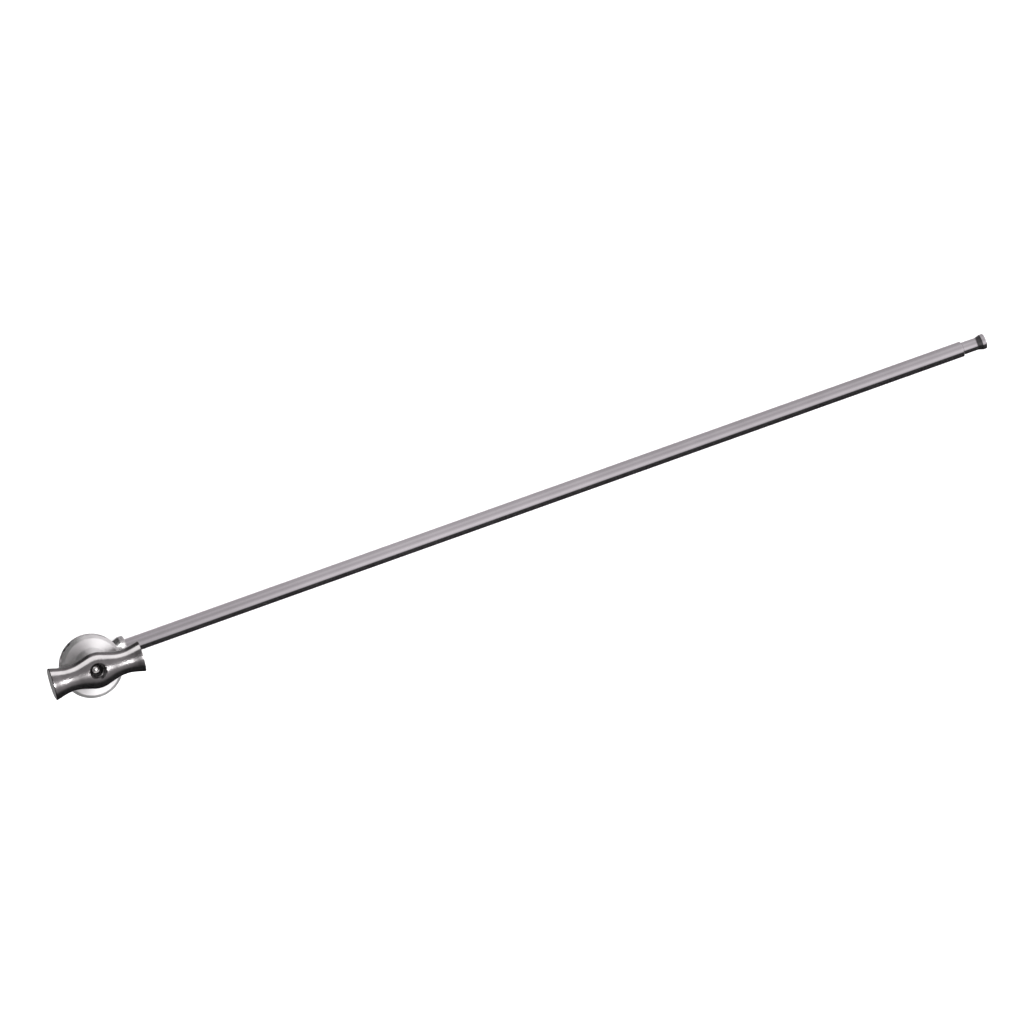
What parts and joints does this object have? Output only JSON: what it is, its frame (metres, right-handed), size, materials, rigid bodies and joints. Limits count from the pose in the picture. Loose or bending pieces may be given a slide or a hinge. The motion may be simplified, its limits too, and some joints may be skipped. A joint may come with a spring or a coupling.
{
  "type": "extension grip arm",
  "caption": "Long round chromed rod with a waisted end pin and, at the other end, a swivelling two-jaw disc clamp head closed by a flared T-handle.",
  "frame": {"origin": "on the clamp bolt's axis, at the flat back face of the head, which is the bolt head's flush end face", "axes": "+Z along the bolt axis from the back of the head towards the T-handle; +X along the rod from the head to the end pin; +Y completes the right-handed frame"},
  "size_m": [1.0148, 0.0636, 0.079],
  "materials": {
    "chrome": "polished chrome plate",
    "plated_casting": "bright plated casting, turned faces",
    "handle_casting": "satin plated casting",
    "steel": "ground steel",
    "brass": "turned brass",
    "fibre": "dark fibre friction disc"
  },
  "bodies": {
    "arm": {"arm_rod": "chrome", "end_pin": "chrome", "arm_casting": "plated_casting", "rod_pin_1": "steel", "rod_pin_2": "steel", "draw_bolt": "steel", "friction_washer": "fibre"},
    "rear_jaw": {"rear_jaw": "plated_casting", "jaw_guide_pin_1": "steel", "jaw_guide_pin_2": "steel", "jaw_spring": "steel"},
    "front_jaw": {"front_jaw": "plated_casting"},
    "thrust_seat": {"bearing_race_lower": "steel"},
    "ball_cage": {"bearing_cage": "brass", "bearing_ball_01": "steel", "bearing_ball_02": "steel", "bearing_ball_03": "steel", "bearing_ball_04": "steel", "bearing_ball_05": "steel", "bearing_ball_06": "steel", "bearing_ball_07": "steel", "bearing_ball_08": "steel", "bearing_ball_09": "steel", "bearing_ball_10": "steel"},
    "handle": {"bearing_race_upper": "steel", "handle_insert": "steel", "t_handle": "handle_casting"}
  },
  "joints": [
    {"name": "jaw_swivel", "type": "hinge", "parent": "arm", "child": "rear_jaw", "pos_m": [0, 0, 0.0373], "axis": [0, 0, 1], "continuous": true},
    {"name": "jaw_opening", "type": "slide", "parent": "rear_jaw", "child": "front_jaw", "axis": [0, 0, 1], "range_m": [0, 0.00874], "deforming": ["jaw_spring"]},
    {"name": "thrust_travel", "type": "slide", "parent": "arm", "child": "thrust_seat", "axis": [0, 0, 1], "range_m": [0, 0.00874]},
    {"name": "handle_turn", "type": "hinge", "parent": "thrust_seat", "child": "handle", "pos_m": [0, 0, 0.0655], "axis": [0, 0, 1], "range_deg": [0, 1980]},
    {"name": "cage_turn", "type": "hinge", "parent": "thrust_seat", "child": "ball_cage", "pos_m": [0, 0, 0.05495], "axis": [0, 0, 1], "range_deg": [0, 990]}
  ],
  "couplings": [
    {"joint": "thrust_travel", "follows": "handle_turn", "m_per_rad": 0.00025266},
    {"joint": "jaw_opening", "follows": "handle_turn", "m_per_rad": 0.00025266},
    {"joint": "cage_turn", "follows": "handle_turn", "ratio": 0.5}
  ]
}
